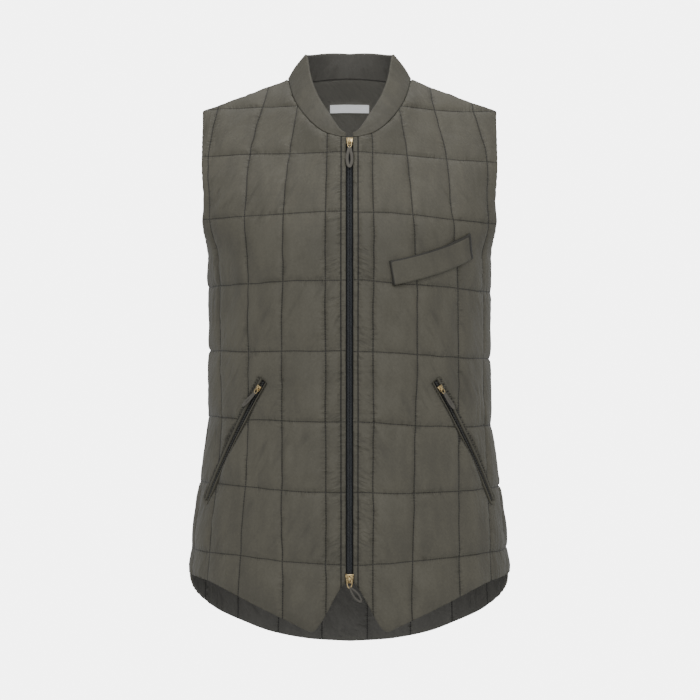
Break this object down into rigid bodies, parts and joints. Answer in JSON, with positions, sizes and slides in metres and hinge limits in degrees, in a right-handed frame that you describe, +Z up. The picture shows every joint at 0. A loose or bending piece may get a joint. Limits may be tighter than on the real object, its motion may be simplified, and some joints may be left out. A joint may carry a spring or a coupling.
{
  "type": "quilted vest",
  "caption": "Sleeveless box-quilted vest with a band collar, a two-way front zip, slanted zipped hip pockets, a chest welt and a pointed front hem.",
  "frame": {"origin": "midway between the shoulder seams, level with the shoulders that hold the vest up", "axes": "+Z up, the wearer faces -Y, +X is the wearer's left"},
  "size_m": [0.4187, 0.2853, 0.7998],
  "materials": {
    "quilted_cloth": "olive grey quilted nylon, soft sheen",
    "plain_cloth": "olive grey plain nylon, soft sheen",
    "zip_chain": "black coil",
    "zip_tape": "black woven tape",
    "slider_metal": "polished pale gold",
    "pull_cloth": "dark olive folded strap",
    "label": "white woven satin, blank"
  },
  "bodies": {
    "vest": {"front_left": "quilted_cloth", "front_right": "quilted_cloth", "back": "quilted_cloth", "collar": "plain_cloth", "zip_chain": "zip_chain", "zip_tape_left": "zip_tape", "zip_tape_right": "zip_tape", "top_slider": "slider_metal", "bottom_slider": "slider_metal", "hip_left_zip": "zip_chain", "hip_left_lips": "plain_cloth", "hip_left_slider": "slider_metal", "hip_right_zip": "zip_chain", "hip_right_lips": "plain_cloth", "hip_right_slider": "slider_metal", "chest_welt": "plain_cloth", "neck_label": "label"},
    "top_pull_body": {"top_link": "slider_metal", "top_pull": "pull_cloth"},
    "bottom_pull_body": {"bottom_link": "slider_metal", "bottom_pull": "pull_cloth"},
    "hip_left_pull_body": {"hip_left_link": "slider_metal", "hip_left_pull": "pull_cloth"},
    "hip_right_pull_body": {"hip_right_link": "slider_metal", "hip_right_pull": "pull_cloth"}
  },
  "joints": [
    {"name": "top_pull_hinge", "type": "hinge", "parent": "vest", "child": "top_pull_body", "pos_m": [0, -0.11121, -0.07275], "axis": [-1, 0, 0], "range_deg": [0, 160]},
    {"name": "bottom_pull_hinge", "type": "hinge", "parent": "vest", "child": "bottom_pull_body", "pos_m": [0, -0.1529, -0.62012], "axis": [-1, 0, 0], "range_deg": [0, 160]},
    {"name": "hip_left_pull_hinge", "type": "hinge", "parent": "vest", "child": "hip_left_pull_body", "pos_m": [0.11445, -0.12455, -0.38268], "axis": [-0.7081, -0.4325, -0.5582], "range_deg": [0, 160]},
    {"name": "hip_right_pull_hinge", "type": "hinge", "parent": "vest", "child": "hip_right_pull_body", "pos_m": [-0.11445, -0.12455, -0.38268], "axis": [-0.7081, 0.4325, 0.5582], "range_deg": [0, 160]}
  ]
}
